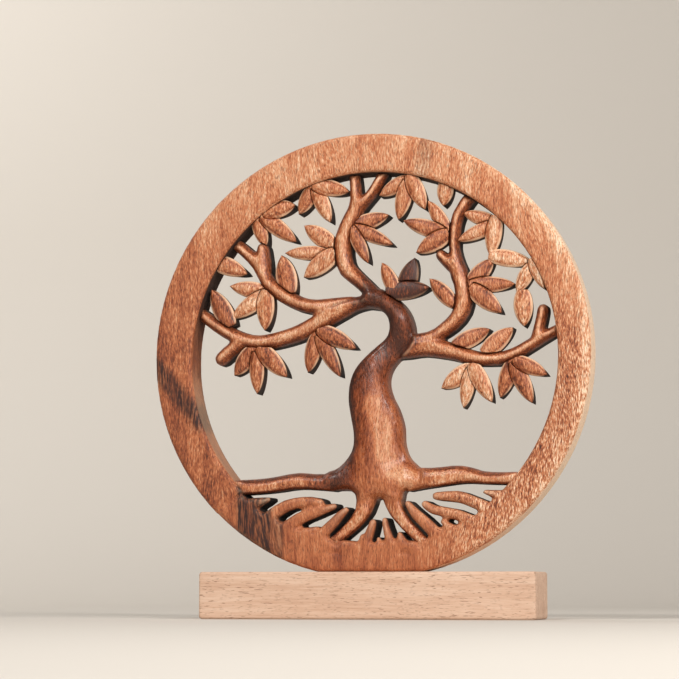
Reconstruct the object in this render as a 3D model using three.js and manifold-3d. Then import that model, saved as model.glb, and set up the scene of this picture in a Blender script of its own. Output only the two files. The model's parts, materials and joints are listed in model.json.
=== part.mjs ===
// Tree-of-life disc: an openwork wooden panel on a plain wooden plinth. Millimetres, +Z up.
// The origin is on the surface that the plinth stands on, under its middle. The front faces -Y.
import * as THREE from 'three'
import { mergeVertices } from 'three/addons/utils/BufferGeometryUtils.js'
import Module from 'manifold-3d'

const wasm = await Module()
wasm.setup()

// Driving dimensions
const DISC_RADIUS = 152.4
const DISC_THICKNESS = 25
const DISC_FLAT = 148 // from the disc's centre down to the flat that it stands on
const OPENING_RADIUS = 128.4
const OPENING_CENTRE = [1.8, -2.4]
const PLINTH = { width: 232, depth: 51, height: 32, edge: 1.2 }
const DOWEL = { radius: 4, spacing: 48, inPlinth: 20, inPanel: 12, socketSpare: 1, sides: 20 }
const GAP = 0.3 // kept between neighbouring solids
const DISC_CENTRE_HEIGHT = PLINTH.height + GAP + DISC_FLAT

// Carving levels, measured back from the rim's front face. Inset and fall shape the rounded edges.
const RIM_LEVEL = { front: 0, back: DISC_THICKNESS, inset: 1.6, fall: 1.6, rounds: 1 }
const GROUND_LEVEL = { front: 0, back: DISC_THICKNESS, inset: 1.2, fall: 1.4, rounds: 1 }
const TRUNK_LEVEL = { front: 0, back: 24.5, inset: 3.6, fall: 5, rounds: 2 }
const ROOT_LEVEL = { front: 1, back: 24, inset: 2.4, fall: 3.5, rounds: 2 }
const BOUGH_LEVEL = { front: 1.5, back: 23, inset: 2.3, fall: 4, rounds: 2 }
const LEAF_LEVEL = { front: 4, back: 20.5 }

const CIRCLE_STEPS = 96
const RIM_START = -45 // degrees, where the rim rises out of the ground on the right
const RIM_END = 225 // degrees, where it meets the ground again on the left

// The trunk's outline: up its left side, round the arch of its neck, and down its right side.
const TRUNK_OUTLINE = [
  [-32, -91], [-33, -82], [-24, -78.5], [-17, -72], [-12.5, -64], [-12, -54], [-14, -42],
  [-15.6, -31], [-14.5, -19], [-10.5, -9.5], [-3.5, -1.5], [5, 6], [11.5, 12], [13.4, 19.5],
  [11.5, 27], [6, 31.5], [-1, 32.6], [-6.5, 34], [-8, 38.5], [-3.5, 43.8], [4.5, 45.4], [11.5, 42.4],
  [18, 37.6], [24.5, 30.5], [28, 22.5], [29.2, 14], [26.5, 5.5], [20, -1.5], [13.5, -9],
  [10.6, -18], [12.5, -28], [17.5, -38.5], [20.8, -50], [21.3, -61], [24.5, -71], [31, -77.5],
  [35, -82], [33, -91], [23, -92.5], [20, -102], [9, -98.5], [2, -98.5], [-8, -102],
  [-12, -93.5],
]

// Limbs are lists of stations along their middle line: x, z, width. Rounded ones have a free end.
const ROOTS = {
  root_left: [[[-104, -90.3, 9], [-91, -90.3, 9], [-70, -88.8, 9.3], [-52, -86.2, 10], [-38, -87, 9.6],
    [-26, -87, 12]]],
  root_right: [[[26, -86, 15], [34, -85.3, 13.5], [44, -84.7, 12], [60, -83, 11.2], [68, -83.5, 9.6],
    [76, -85, 7.5], [90, -85.8, 7], [112, -85.8, 7]]],
  root_lower_left: [[[-3, -94, 14], [-4, -104, 11], [-6.5, -110, 9], [-12, -116.5, 7.5], [-18, -122, 6.5],
    [-25, -128, 6.5]]],
  root_lower_right: [[[13, -94, 13], [17, -105, 9.5], [20.5, -111, 8], [25.5, -117, 7], [31, -122.5, 6.5],
    [37.5, -129, 6.5]]],
}
const BOUGHS = {
  bough_left_low: [[[4, 36.5, 8.5], [-5, 36.3, 8.2], [-13, 34.8, 9.5], [-22, 31, 11], [-32, 26, 11.5],
    [-42, 20.5, 11], [-52, 16, 10.5], [-62, 13, 10], [-73, 10.8, 9.5], [-84, 10.6, 9], [-98, 15.5, 8.3],
    [-110, 22.5, 7.7], [-132, 39, 6.5]]],
  bough_left_high: [[[-10, 37, 6.5], [-18, 36.3, 7.5], [-28, 35.2, 8.5], [-40, 34.4, 8.8], [-50, 36.4, 8.8],
    [-60, 41.5, 9.2], [-68, 47, 9.2], [-74, 53, 9], [-81, 65, 7.8], [-92, 76, 7], [-110, 89.5, 6.5]]],
  bough_centre: [
    [[8, 36, 9], [1, 42.5, 9], [-4.5, 48, 9], [-11, 54, 9.5], [-17.5, 60.5, 11], [-19.8, 70, 11],
      [-19.7, 80, 11.5], [-15.5, 92, 10.5], [-11, 100, 11], [-10.5, 110, 7.5], [-12.5, 130, 6.5]],
    [[-12, 98, 7.5], [-4, 107, 6.5], [2, 114, 6.5], [12, 132, 6.5]],
  ],
  bough_right_low: [[[16, 3, 12], [26, 4, 13], [37, 4.5, 11.5], [50, 2.5, 11], [60, 0, 10], [70, -3.5, 9],
    [80, -4.7, 8], [90, -4.5, 8], [100, -1.5, 7.5], [110, 4, 7.3], [119, 9, 6.5], [134, 17, 5.5]]],
  bough_right_high: [
    [[22, 10, 8], [32, 9, 8.5], [43, 11.5, 7.5], [52, 16.5, 9], [60, 23.5, 10], [64.2, 32, 11.5],
      [64.7, 40, 11], [63.4, 48, 10.5], [61, 56, 11.5], [60, 64, 7], [58.3, 72, 6.5], [58.6, 80, 7],
      [59.5, 88, 7], [62, 96, 7.5], [75, 114, 8]],
  ],
}
const TWIGS = {
  stub_left: [[-92, 11, 8], [-100, 5.5, 9], [-107, -0.5, 8.5]],
  twig_left: [[-75, 55, 7], [-76, 66, 7.5], [-77.5, 76, 7.5]],
  twig_right_high: [[61, 55, 7], [54, 62, 7], [49, 67.5, 6.5]],
  twig_right_low: [[114, 8, 6.5], [117.5, 20, 6.5], [119, 28, 6.5]],
}

// Root tips rising out of the ground, left to right, each from its thick end: x, z, width.
const GROUND_TIPS = [
  [[-88, -103, 9], [-78, -101, 7], [-70, -98.5, 2]],
  [[-72, -112, 9], [-60, -104, 8], [-50, -101.2, 7], [-40, -100.5, 6], [-34, -101, 4]],
  [[-62, -120, 8], [-48, -111.5, 8], [-38, -108, 7], [-25, -104, 4]],
  [[-46, -122, 7], [-36, -118.5, 2]],
  [[-38, -127, 8], [-26, -116, 7], [-20, -109.5, 5.5], [-16.5, -106.5, 4]],
  [[-6.5, -132, 6], [-5, -123, 2]],
  [[-4, -132, 6.5], [0.5, -121, 6], [2.3, -115, 4.5]],
  [[6, -132, 5], [6.5, -125, 2]],
  [[15, -130, 6.5], [11.5, -119, 4.5], [10.5, -113.5, 3.5]],
  [[23, -131, 10], [20.5, -121.5, 2]],
  [[50, -127, 9], [38, -115, 8], [32, -109.5, 7], [26.5, -102.5, 4]],
  [[70, -114.5, 8], [60, -110, 7], [44, -106.5, 6], [38.5, -103, 5]],
  [[57, -120, 7], [49.5, -114, 2]],
  [[86, -108, 8.5], [70, -101, 7.5], [62, -98.2, 7.5], [46, -97.5, 5]],
  [[96, -98, 8], [86, -96.5, 5], [78.5, -94.7, 2]],
]
const ROUND_END_WIDTH = 3 // wider tips end round, narrower ones in a point
// Where the slits between those tips end, left to right.
const GROUND_SLITS = [
  [-89, -95.5], [-79, -105.5], [-64.5, -113], [-51, -119], [-41, -121.5], [-28.5, -125.5], [-17, -127],
  [1, -129], [18, -127.5], [31.5, -127.5], [42, -125.5], [49, -120.5], [64.5, -115.5], [76.5, -108],
  [85, -100], [97, -90.5],
]

// Leaves: base x, base z, tip x, tip z, width. Each list is one spray.
const SPRAYS = {
  leaf_rim_left: [[-112, 68, -88.5, 58.5, 12]],
  spray_upper_left_outer: [[-81, 97, -75, 77.5, 10], [-75, 97, -53, 80, 11], [-74, 101.5, -54, 105.5, 12]],
  spray_upper_left_top: [[-40, 117, -50.5, 99.5, 11], [-38, 115, -28.5, 93, 10.5],
    [-38, 118.5, -15.5, 113.5, 11]],
  spray_upper_left_inner: [[-27, 77, -46.5, 90.5, 12], [-33, 71, -60, 72, 9.5], [-26, 70, -46.5, 55, 13]],
  spray_centre: [[-11, 89, 12.5, 96, 11], [-9, 87, 15.5, 75.5, 9.5], [-12, 86, -1.5, 63.5, 9]],
  spray_top_right: [[26, 120, 7, 110, 10], [26.5, 117, 20, 93, 11], [29, 121, 38.5, 99.5, 11]],
  leaf_rim_top_right: [[54, 118, 51.5, 101.5, 11]],
  spray_upper_right_inner: [[54, 84, 41, 104.5, 9.5], [51, 82, 24, 91.5, 11], [53.5, 80.5, 33, 69.5, 12]],
  spray_upper_right_outer: [[86, 88.5, 65.5, 95.5, 9.5], [86, 86, 61.5, 76.5, 9.5], [88, 90, 84, 65.5, 11]],
  spray_right_outer: [[85.5, 65, 112, 60, 11], [111, 56, 102, 40, 9.5], [113, 60, 120.5, 42, 8]],
  spray_right_inner: [[70.5, 47, 85.5, 63, 11.5], [72, 45.5, 100, 45.5, 10.5], [72, 42.5, 91, 26.5, 12]],
  leaf_right: [[106, 38.5, 106.5, 17, 12.5]],
  leaf_bough_right_inner: [[60.5, 5, 82.5, 15, 11.5]],
  leaf_bough_right_outer: [[80.5, 0, 98.5, 15.5, 12]],
  spray_low_right_inner: [[70, -11.5, 50, -24, 12], [69.5, -14, 64.8, -37.5, 9.5], [72, -10.5, 84, -34, 11]],
  spray_low_right_outer: [[98.5, -8, 90, -31, 11], [100, -10, 111.5, -35, 11], [102, -7, 121.5, -16.5, 10]],
  spray_left: [[-74, 45, -100, 50, 11], [-75, 43, -98.5, 28, 11.5], [-74, 43.5, -75, 19, 12]],
  leaf_left_upright: [[-57.5, 46, -63, 70, 14]],
  leaf_rim_left_low: [[-100.5, 24, -113.5, 47.5, 13]],
  spray_low_left_outer: [[-83, 5, -96.5, -12, 12], [-80.5, 1, -80.5, -25, 10], [-77, 5, -59.5, -14, 12]],
  spray_low_left_inner: [[-38, 13, -44, -11, 11], [-35, 12, -21.5, -14.5, 10.5], [-34, 17, -10.5, 4.5, 11.5]],
  leaf_over_arch: [[18, 43, 8.5, 62.5, 10]],
  spray_over_arch: [[24, 42, 31, 65, 13], [14, 42, 41, 45, 12.5]],
  leaf_bough_right_upper: [[57.5, 34, 42, 50.5, 10.5]],
}

const DARK_SPRAY = 'spray_over_arch' // stands in a streak of dark heartwood

// A leaf's outline: where its curves' handles stand, as fractions of its length and width, and in
// millimetres how far its base is tucked in behind its first point and its tip reaches past the last.
const LEAF_SHAPE = {
  base: 0.32,
  swellAt: 0.22,
  swell: 0.7,
  taperAt: 0.76,
  taper: 0.58,
  tuck: 2.5,
  reach: 0.8,
}
const LEAF_RINGS = [
  { above: 0, across: 0.86, along: 0.97 },
  { above: 1.2, across: 1, along: 1 },
  { above: 13.6, across: 1, along: 1 },
  { above: LEAF_LEVEL.back - LEAF_LEVEL.front, across: 0.58, along: 0.86 },
]
const LEAF_CURVE_STEPS = 7
const LIMB_STEP = 6 // spacing of the points along a limb's outline
const TRUNK_STEP = 4.5 // and along the trunk's
const SMALLEST_PIECE = 30 // mm3, offcuts below this are cleared away

// Wood
const WOOD = {
  warm: '#b9794f',
  pale: '#cf9a70',
  bark: '#9c5a38',
  dark: '#5f2c1c',
  plinth: '#d9b698',
  peg: '#d8bd92',
}
const woodMaterial = (color) => new THREE.MeshStandardMaterial({ color, roughness: 0.6, metalness: 0 })

// Joining and cutting
function toSolid(geometry) {
  const bare = geometry.clone()
  bare.deleteAttribute('normal')
  bare.deleteAttribute('uv')
  const merged = mergeVertices(bare, 1e-4)
  const vertProperties = new Float32Array(merged.attributes.position.array)
  const triVerts = new Uint32Array(merged.index.array)
  return new wasm.Manifold(new wasm.Mesh({ numProp: 3, vertProperties, triVerts }))
}

function toGeometry(solid) {
  const mesh = solid.getMesh()
  const geometry = new THREE.BufferGeometry()
  geometry.setAttribute('position', new THREE.BufferAttribute(mesh.vertProperties, 3))
  geometry.setIndex(new THREE.BufferAttribute(mesh.triVerts, 1))
  geometry.computeVertexNormals()
  return geometry
}

const join = (solids) => solids.reduce((whole, solid) => whole.add(solid))
const cutBy = (solid, cutters) => cutters.reduce((rest, cutter) => rest.subtract(cutter), solid)

function withoutOffcuts(solid) {
  const pieces = solid.decompose().filter((piece) => piece.volume() > SMALLEST_PIECE)
  return pieces.length > 1 ? join(pieces) : pieces[0]
}

// Panel frame: local X to the right, local Y up from the disc's centre, local Z towards the front.
function carve(shape, level, grow = 0) {
  const { front, back, inset, fall, rounds } = level
  const geometry = new THREE.ExtrudeGeometry(shape, {
    depth: back - front - 2 * fall + 2 * grow,
    bevelThickness: fall,
    bevelSize: inset,
    bevelOffset: grow - inset,
    bevelSegments: rounds,
    curveSegments: CIRCLE_STEPS,
  })
  geometry.translate(0, 0, DISC_THICKNESS / 2 - back + fall - grow)
  return toSolid(geometry)
}

function arcPoints(centre, radius, fromDegrees, toDegrees) {
  const steps = Math.max(2, Math.round((Math.abs(toDegrees - fromDegrees) / 360) * CIRCLE_STEPS))
  return Array.from({ length: steps + 1 }, (_, i) => {
    const angle = THREE.MathUtils.degToRad(fromDegrees + ((toDegrees - fromDegrees) * i) / steps)
    return new THREE.Vector2(centre[0] + radius * Math.cos(angle), centre[1] + radius * Math.sin(angle))
  })
}

function rimSolid(grow) {
  const outer = arcPoints([0, 0], DISC_RADIUS, RIM_START, RIM_END)
  const inner = arcPoints(OPENING_CENTRE, OPENING_RADIUS, RIM_END, RIM_START)
  return carve(new THREE.Shape([...outer, ...inner]), RIM_LEVEL, grow)
}

function groundSolid(grow) {
  const flatAngle = THREE.MathUtils.radToDeg(Math.asin(DISC_FLAT / DISC_RADIUS))
  const leftEdge = arcPoints([0, 0], DISC_RADIUS, RIM_END, 180 + flatAngle)
  const rightEdge = arcPoints([0, 0], DISC_RADIUS, -flatAngle, RIM_START)
  const top = GROUND_SLITS.map(([x, z]) => new THREE.Vector2(x, z)).reverse()
  const plate = carve(new THREE.Shape([...leftEdge, ...rightEdge, ...top]), GROUND_LEVEL, grow)
  const tips = GROUND_TIPS.map((stations) => {
    const endWidth = stations.at(-1)[2]
    return carve(limbShape(stations, endWidth > ROUND_END_WIDTH), GROUND_LEVEL, grow)
  })
  return join([plate, ...tips])
}

function trunkSolid(grow) {
  const points = TRUNK_OUTLINE.map(([x, z]) => new THREE.Vector3(x, z, 0))
  const outline = new THREE.CatmullRomCurve3(points, true, 'centripetal')
  const samples = outline.getSpacedPoints(Math.round(outline.getLength() / TRUNK_STEP))
  const corners = samples.slice(0, -1).map(({ x, y }) => new THREE.Vector2(x, y))
  return carve(new THREE.Shape(corners), TRUNK_LEVEL, grow)
}

// A limb's outline: half its width to each side of a smooth line through its stations.
function limbShape(stations, roundEnd = false) {
  const points = stations.map((station) => new THREE.Vector3(...station))
  const line = new THREE.CatmullRomCurve3(points, false, 'centripetal')
  const steps = Math.max(2, Math.round(line.getLength() / LIMB_STEP))
  const left = []
  const right = []
  for (let i = 0; i <= steps; i++) {
    const { x, y, z: width } = line.getPoint(i / steps)
    const tangent = line.getTangent(i / steps)
    const across = new THREE.Vector2(-tangent.y, tangent.x).normalize().multiplyScalar(width / 2)
    left.push(new THREE.Vector2(x + across.x, y + across.y))
    right.unshift(new THREE.Vector2(x - across.x, y - across.y))
  }
  const end = roundEnd ? roundCap(left.at(-1), right[0]) : []
  return new THREE.Shape([...right, ...left.slice(0, -1), left.at(-1), ...end].reverse())
}

function roundCap(from, to) {
  const middle = from.clone().add(to).multiplyScalar(0.5)
  const arm = from.clone().sub(middle)
  const turns = [-45, -90, -135].map(THREE.MathUtils.degToRad)
  return turns.map((turn) => arm.clone().rotateAround(new THREE.Vector2(), turn).add(middle))
}

function limbSolid(limbs, level, grow) {
  return join(limbs.map((stations) => carve(limbShape(stations), level, grow)))
}

function twigSolid(stations, grow) {
  return carve(limbShape(stations, true), BOUGH_LEVEL, grow)
}

// A leaf with a crowned front: four rings of one outline, pulled in at the back and front.
function leafSolid([baseX, baseZ, tipX, tipZ, fullWidth], grow) {
  const { base, tuck, swellAt, swell, taperAt, taper, reach } = LEAF_SHAPE
  const length = Math.hypot(tipX - baseX, tipZ - baseZ) + reach + grow
  const width = fullWidth + 2 * grow
  const shape = new THREE.Shape()
  shape.moveTo(-tuck, -base * width)
  shape.bezierCurveTo(swellAt * length, -swell * width, taperAt * length, -taper * width, length, 0)
  shape.bezierCurveTo(taperAt * length, taper * width, swellAt * length, swell * width, -tuck, base * width)
  const rings = LEAF_RINGS.length - 1
  const geometry = new THREE.ExtrudeGeometry(shape, {
    depth: rings, steps: rings, bevelEnabled: false, curveSegments: LEAF_CURVE_STEPS,
  })
  const position = geometry.attributes.position
  for (let i = 0; i < position.count; i++) {
    const ring = Math.round(position.getZ(i))
    const { above, across, along } = LEAF_RINGS[ring]
    const outward = ring === 0 ? -grow : ring === rings ? grow : 0
    const x = length / 2 + (position.getX(i) - length / 2) * along
    position.setXYZ(i, x, position.getY(i) * across, above + outward)
  }
  geometry.rotateZ(Math.atan2(tipZ - baseZ, tipX - baseX))
  geometry.translate(baseX, baseZ, DISC_THICKNESS / 2 - LEAF_LEVEL.back)
  return toSolid(geometry)
}

function spraySolid(leaves, grow) {
  return join(leaves.map((leaf) => leafSolid(leaf, grow)))
}

// Dowels and their holes, upright
const DOWEL_BOTTOM = PLINTH.height - DOWEL.inPlinth
function dowelSolid(side, radius, bottom, top) {
  const geometry = new THREE.CylinderGeometry(radius, radius, top - bottom, DOWEL.sides)
  geometry.rotateX(Math.PI / 2)
  geometry.translate((side * DOWEL.spacing) / 2, 0, (bottom + top) / 2)
  return toSolid(geometry)
}

function plinthSolid() {
  const { width, depth, height, edge } = PLINTH
  const corner = new THREE.Shape()
  corner.moveTo(-width / 2, -depth / 2)
  corner.lineTo(width / 2, -depth / 2)
  corner.lineTo(width / 2, depth / 2)
  corner.lineTo(-width / 2, depth / 2)
  corner.closePath()
  const geometry = new THREE.ExtrudeGeometry(corner, {
    depth: height - 2 * edge, bevelThickness: edge, bevelSize: edge, bevelOffset: -edge, bevelSegments: 2,
  })
  geometry.translate(0, 0, edge)
  const pastTop = height + DOWEL.inPanel
  const holes = [-1, 1].map((side) => dowelSolid(side, DOWEL.radius + GAP, DOWEL_BOTTOM - GAP, pastTop))
  return cutBy(toSolid(geometry), holes)
}

// The panel's sockets, brought into the panel frame
function socketSolids() {
  const socketTop = PLINTH.height + DOWEL.inPanel + DOWEL.socketSpare
  return [-1, 1].map((side) => dowelSolid(side, DOWEL.radius + GAP, 0, socketTop)
    .translate([0, 0, -DISC_CENTRE_HEIGHT])
    .rotate([-90, 0, 0]))
}

function regionsFrom(list, colour, makeSolid) {
  return Object.entries(list).map(([name, layout]) => [
    name, name === DARK_SPRAY ? WOOD.dark : colour, (grow) => makeSolid(layout, grow),
  ])
}

// Every carved region in the order in which it is cut: a later one gives way to an earlier one.
const REGIONS = [
  ['rim', WOOD.pale, rimSolid],
  ['trunk', WOOD.bark, trunkSolid],
  ...regionsFrom(ROOTS, WOOD.bark, (limbs, grow) => limbSolid(limbs, ROOT_LEVEL, grow)),
  ['ground', WOOD.warm, groundSolid],
  ...regionsFrom(BOUGHS, WOOD.warm, (limbs, grow) => limbSolid(limbs, BOUGH_LEVEL, grow)),
  ...regionsFrom(TWIGS, WOOD.warm, twigSolid),
  ...regionsFrom(SPRAYS, WOOD.pale, spraySolid),
]

function namedMesh(name, solid, colour) {
  const mesh = new THREE.Mesh(toGeometry(solid), woodMaterial(colour))
  mesh.name = name
  return mesh
}

function buildPanel() {
  const panel = new THREE.Group()
  const cutters = socketSolids()
  for (const [name, colour, makeSolid] of REGIONS) {
    const solid = withoutOffcuts(cutBy(makeSolid(0), cutters))
    cutters.push(makeSolid(GAP))
    panel.add(namedMesh(name, solid, colour))
  }
  panel.rotation.x = Math.PI / 2
  panel.position.z = DISC_CENTRE_HEIGHT
  return panel
}

function buildStand() {
  const stand = new THREE.Group()
  stand.add(namedMesh('plinth', plinthSolid(), WOOD.plinth))
  const top = PLINTH.height + DOWEL.inPanel
  stand.add(namedMesh('dowel_left', dowelSolid(-1, DOWEL.radius, DOWEL_BOTTOM, top), WOOD.peg))
  stand.add(namedMesh('dowel_right', dowelSolid(1, DOWEL.radius, DOWEL_BOTTOM, top), WOOD.peg))
  return stand
}

const group = new THREE.Group()
group.add(buildStand(), buildPanel())
export default group
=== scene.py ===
"""Looks for the carved tree-of-life disc: one openwork hardwood panel on a plain pale plinth."""

import json
import math

import bmesh
import bpy
import numpy as np
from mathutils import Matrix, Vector, kdtree
from mathutils.bvhtree import BVHTree


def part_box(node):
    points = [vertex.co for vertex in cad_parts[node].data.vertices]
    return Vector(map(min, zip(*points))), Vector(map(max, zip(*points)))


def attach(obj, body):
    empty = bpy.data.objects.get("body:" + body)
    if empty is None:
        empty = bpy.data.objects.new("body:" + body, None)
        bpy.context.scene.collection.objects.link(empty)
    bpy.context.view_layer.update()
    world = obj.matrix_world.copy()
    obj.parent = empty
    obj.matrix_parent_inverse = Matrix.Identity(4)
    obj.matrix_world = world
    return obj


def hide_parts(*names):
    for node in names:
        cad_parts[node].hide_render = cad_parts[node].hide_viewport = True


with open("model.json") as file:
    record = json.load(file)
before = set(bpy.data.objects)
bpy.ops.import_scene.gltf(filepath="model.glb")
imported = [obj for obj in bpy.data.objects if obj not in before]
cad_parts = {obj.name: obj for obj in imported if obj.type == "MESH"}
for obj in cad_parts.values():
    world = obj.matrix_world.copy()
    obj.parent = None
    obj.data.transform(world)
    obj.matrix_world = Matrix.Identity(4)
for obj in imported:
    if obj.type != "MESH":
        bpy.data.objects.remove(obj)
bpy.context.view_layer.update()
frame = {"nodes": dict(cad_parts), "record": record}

MM = 0.001
NODES = frame["nodes"]
PANEL_NODES = frame["record"]["behaviour"]["bodies"]["panel"]

# How finely each piece is resurfaced, and how far the CAD regions are grown first.
RIM_VOXEL = 1.1 * MM
TREE_VOXEL = 0.94 * MM
PLINTH_VOXEL = 1.1 * MM
RIM_GROWTH = 0.25 * MM
TREE_GROWTH = 0.75 * MM  # makes up for what the smoothing takes off
CORNER_LIMIT = 1.6  # how many times the growth a sharp corner may move
WELD = 0.001 * MM
FAR = 1.0  # metres, beyond every part of the object

# A point lies on a sawn wall if its normal hardly points forwards and it is near the slab's middle.
SAWN_NORMAL = 0.35
SLAB_MIDDLE = 6 * MM

# The panel's own measures, from the frame.
RIM_LOW, RIM_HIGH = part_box("rim")
DISC_RADIUS = (RIM_HIGH.x - RIM_LOW.x) / 2
DISC_CENTRE = Vector(((RIM_HIGH.x + RIM_LOW.x) / 2, 0, RIM_HIGH.z - DISC_RADIUS))
FRONT = RIM_LOW.y
BACK = RIM_HIGH.y


# ---------------------------------------------------------------- meshes

def region_bmesh(node, growth):
    """A CAD region as one welded mesh, grown outwards."""
    region = bmesh.new()
    region.from_mesh(NODES[node].data)
    bmesh.ops.remove_doubles(region, verts=region.verts, dist=WELD)
    region.normal_update()
    moves = [v.normal * min(v.calc_shell_factor(), CORNER_LIMIT) * growth for v in region.verts]
    for vertex, move in zip(region.verts, moves):
        vertex.co += move
    return region


def new_object(name, shape):
    """A new object in the scene from a finished bmesh, which is freed."""
    mesh = bpy.data.meshes.new(name)
    shape.to_mesh(mesh)
    shape.free()
    piece = bpy.data.objects.new(name, mesh)
    bpy.context.scene.collection.objects.link(piece)
    return piece


def joined_copy(name, nodes, growth=0.0):
    """A new object holding grown copies of several CAD regions."""
    whole = bmesh.new()
    for node in nodes:
        region = region_bmesh(node, growth)
        scratch = bpy.data.meshes.new("scratch")
        region.to_mesh(scratch)
        region.free()
        whole.from_mesh(scratch)
        bpy.data.meshes.remove(scratch)
    return new_object(name, whole)


def baked_modifier(piece, kind, **settings):
    """Adds one modifier and keeps its result as the piece's mesh."""
    modifier = piece.modifiers.new(kind.lower(), kind)
    for key, value in settings.items():
        setattr(modifier, key, value)
    evaluated = piece.evaluated_get(bpy.context.evaluated_depsgraph_get())
    result = bpy.data.meshes.new_from_object(evaluated)
    piece.modifiers.clear()
    old = piece.data
    piece.data = result
    result.name = piece.name
    bpy.data.meshes.remove(old)


def resurface(piece, voxel, smoothing):
    """Makes one even skin over everything that the piece holds, then eases it."""
    baked_modifier(piece, "REMESH", mode="VOXEL", voxel_size=voxel, adaptivity=0.0)
    baked_modifier(piece, "SMOOTH", factor=0.5, iterations=smoothing)


def points_and_normals(mesh):
    """Every vertex's place and normal, a row each."""
    points = np.empty(len(mesh.vertices) * 3)
    mesh.vertices.foreach_get("co", points)
    normals = np.empty(len(mesh.vertices) * 3)
    mesh.vertices.foreach_get("normal", normals)
    return points.reshape(-1, 3), normals.reshape(-1, 3)


def set_points(mesh, points):
    mesh.vertices.foreach_set("co", points.ravel())
    mesh.update()


def set_attribute(mesh, name, values):
    layer = mesh.attributes.new(name, "FLOAT", "POINT")
    layer.data.foreach_set("value", np.ascontiguousarray(values, dtype=np.float32))


def smoothstep(low, high, x):
    """0 up to low, 1 from high on, and eased in between; low may be the larger one."""
    share = np.clip((x - low) / (high - low), 0, 1)
    return share * share * (3 - 2 * share)


def distance_to_cut_edge(points, normals):
    """How far each point is, seen from the front, from the nearest sawn wall."""
    is_wall = (np.abs(normals[:, 1]) < SAWN_NORMAL) & (np.abs(points[:, 1]) < SLAB_MIDDLE)
    walls = points[is_wall]
    tree = kdtree.KDTree(len(walls))
    for i, (x, _, z) in enumerate(walls):
        tree.insert((x, 0, z), i)
    tree.balance()
    return np.array([tree.find((x, 0, z))[2] for x, _, z in points])


def distance_to_nodes(points, nodes, limit=FAR):
    """How far each point is from the nearest of some CAD regions, and the limit beyond that."""
    best = np.full(len(points), limit)
    for node in nodes:
        region = region_bmesh(node, 0)
        tree = BVHTree.FromBMesh(region)
        region.free()
        found = [tree.find_nearest(point, limit)[3] for point in points]
        best = np.minimum(best, [limit if distance is None else distance for distance in found])
    return best


def quarter_round(share):
    """The fall of a quarter circle: 1 at its edge, where the share is 0, and 0 from a share of 1 on."""
    inwards = 1 - np.clip(share, 0, 1)
    return 1 - np.sqrt(1 - inwards * inwards)


def convexity(mesh, points, normals):
    """How far each point stands proud of its neighbours, in edge lengths: above 0 on ridges."""
    edges = np.empty(len(mesh.edges) * 2, dtype=np.int64)
    mesh.edges.foreach_get("vertices", edges)
    a, b = edges.reshape(-1, 2).T
    total = np.zeros_like(points)
    count = np.zeros(len(points))
    for here, there in ((a, b), (b, a)):
        np.add.at(total, here, points[there])
        np.add.at(count, here, 1)
    offset = points - total / count[:, None]
    length = np.linalg.norm(points[a] - points[b], axis=1).mean()
    proud = np.einsum("ij,ij->i", offset, normals) / length
    for _ in range(2):
        spread = np.zeros(len(points))
        np.add.at(spread, a, proud[b])
        np.add.at(spread, b, proud[a])
        proud = 0.5 * proud + 0.5 * spread / count
    return proud


# ---------------------------------------------------------------- shader nodes

def srgb(red, green, blue):
    """A colour given in 0 to 255 display values, as the linear colour that shaders use."""
    def linear(value):
        share = value / 255
        return share / 12.92 if share <= 0.04045 else ((share + 0.055) / 1.055) ** 2.4
    return (linear(red), linear(green), linear(blue), 1)


# The carving wood from its darkest to its palest, and what is laid over it in places: heartwood, pale
# edges of wear and painted highlight, and dark cuts that are stained and painted with shade.
WOOD_STOPS = [
    (0.0, srgb(70, 31, 15)),
    (0.25, srgb(137, 67, 35)),
    (0.5, srgb(186, 110, 67)),
    (0.75, srgb(214, 157, 117)),
    (1.0, srgb(245, 212, 181)),
]
HEART_COLOUR = srgb(48, 20, 11)
WEAR_AND_HIGHLIGHT_COLOUR = srgb(244, 204, 168)
CUT_STAIN_AND_SHADE_COLOUR = srgb(14, 5, 2)

PLINTH_STOPS = [
    (0.3, srgb(196, 155, 128)),
    (0.5, srgb(216, 180, 154)),
    (0.7, srgb(228, 198, 175)),
]
PLINTH_PORE_COLOUR = srgb(132, 90, 66)
PLINTH_CHIP_COLOUR = srgb(112, 74, 54)

DOWEL_STOPS = [(0.3, srgb(201, 170, 125)), (0.7, srgb(232, 208, 168))]
DOWEL_FLECK_COLOUR = srgb(160, 120, 80)


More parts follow.
